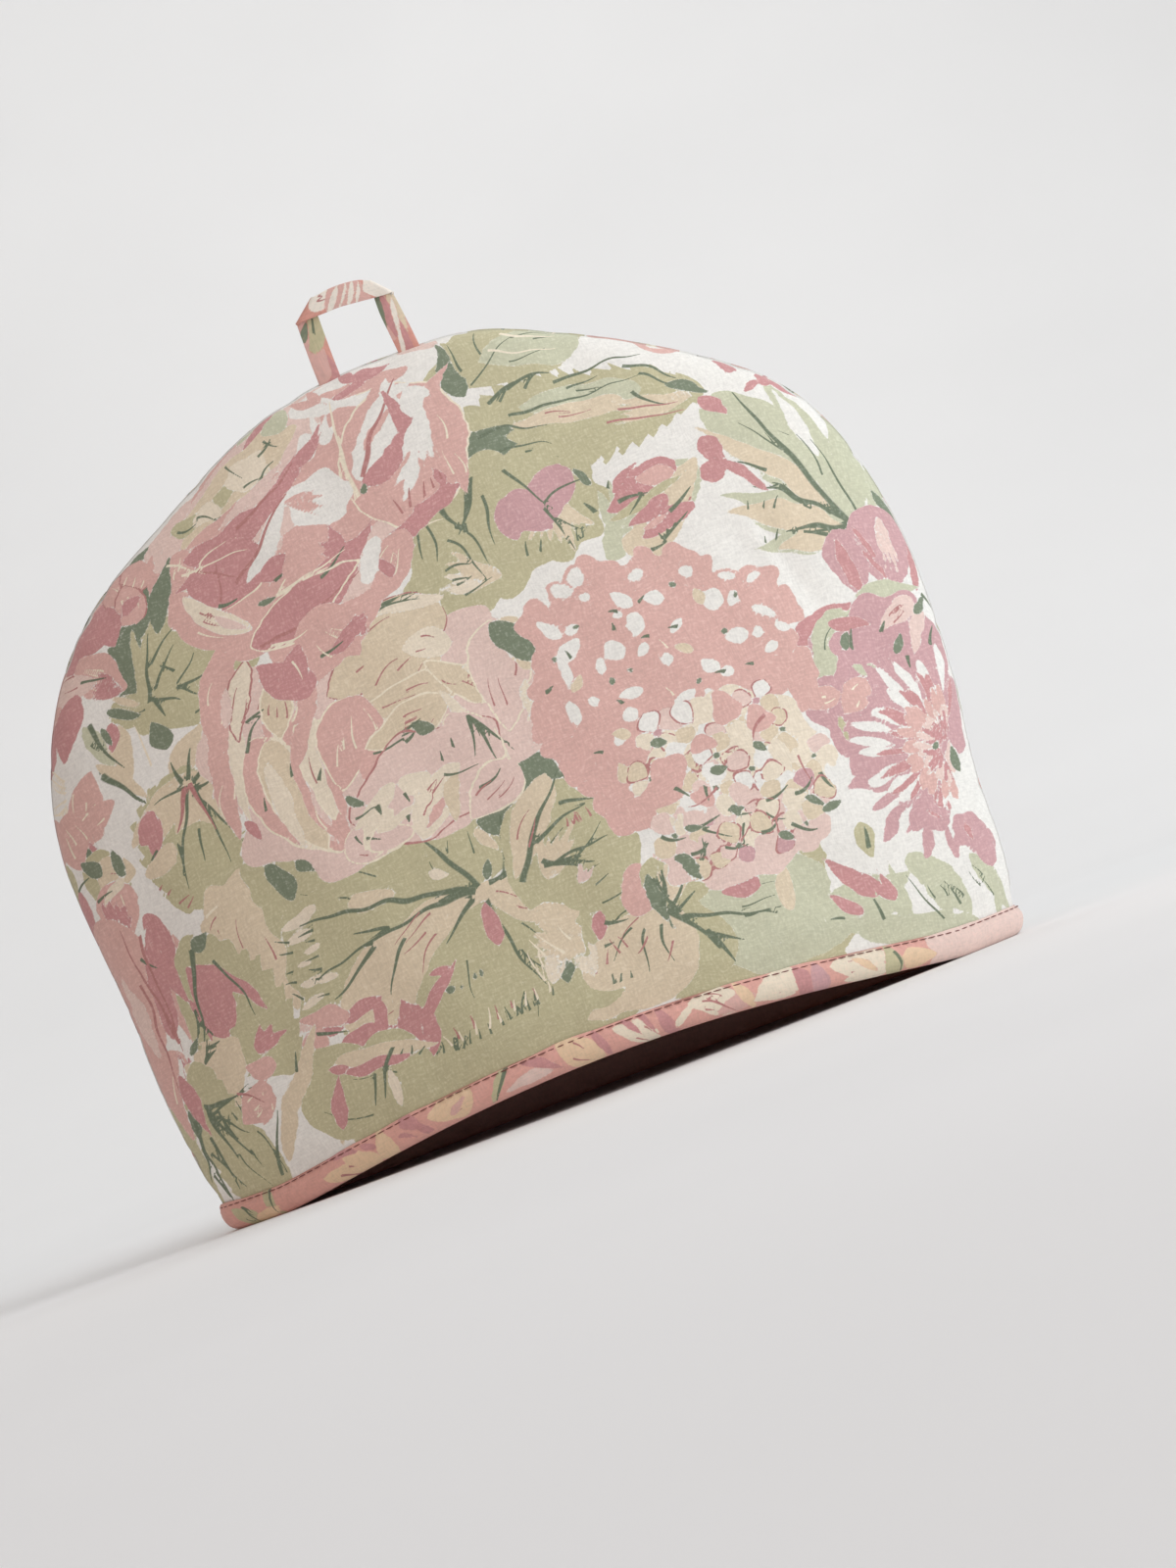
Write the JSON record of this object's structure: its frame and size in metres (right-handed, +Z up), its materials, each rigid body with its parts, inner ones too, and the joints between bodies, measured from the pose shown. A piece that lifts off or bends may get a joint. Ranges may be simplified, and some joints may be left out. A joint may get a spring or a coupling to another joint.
{
  "type": "tea cosy",
  "caption": "Padded D-shaped tea cosy in floral printed cotton: domed front and back panels, bound open hem and a folded tape hanging loop in the top seam.",
  "frame": {"origin": "on the table, under the middle of the cosy", "axes": "+Z up through the loop, +X along the hem to the right as seen from the front, -Y towards the front panel"},
  "size_m": [0.3134, 0.1128, 0.2936],
  "materials": {
    "printed_cotton": "glazed printed cotton, fine plain weave, padded behind",
    "bias_binding": "bias-cut printed cotton strip, soft and slightly padded",
    "loop_tape": "folded printed cotton tape"
  },
  "bodies": {
    "root": {"front_panel": "printed_cotton", "back_panel": "printed_cotton", "hem_binding": "bias_binding", "hanging_loop": "loop_tape"}
  },
  "joints": []
}
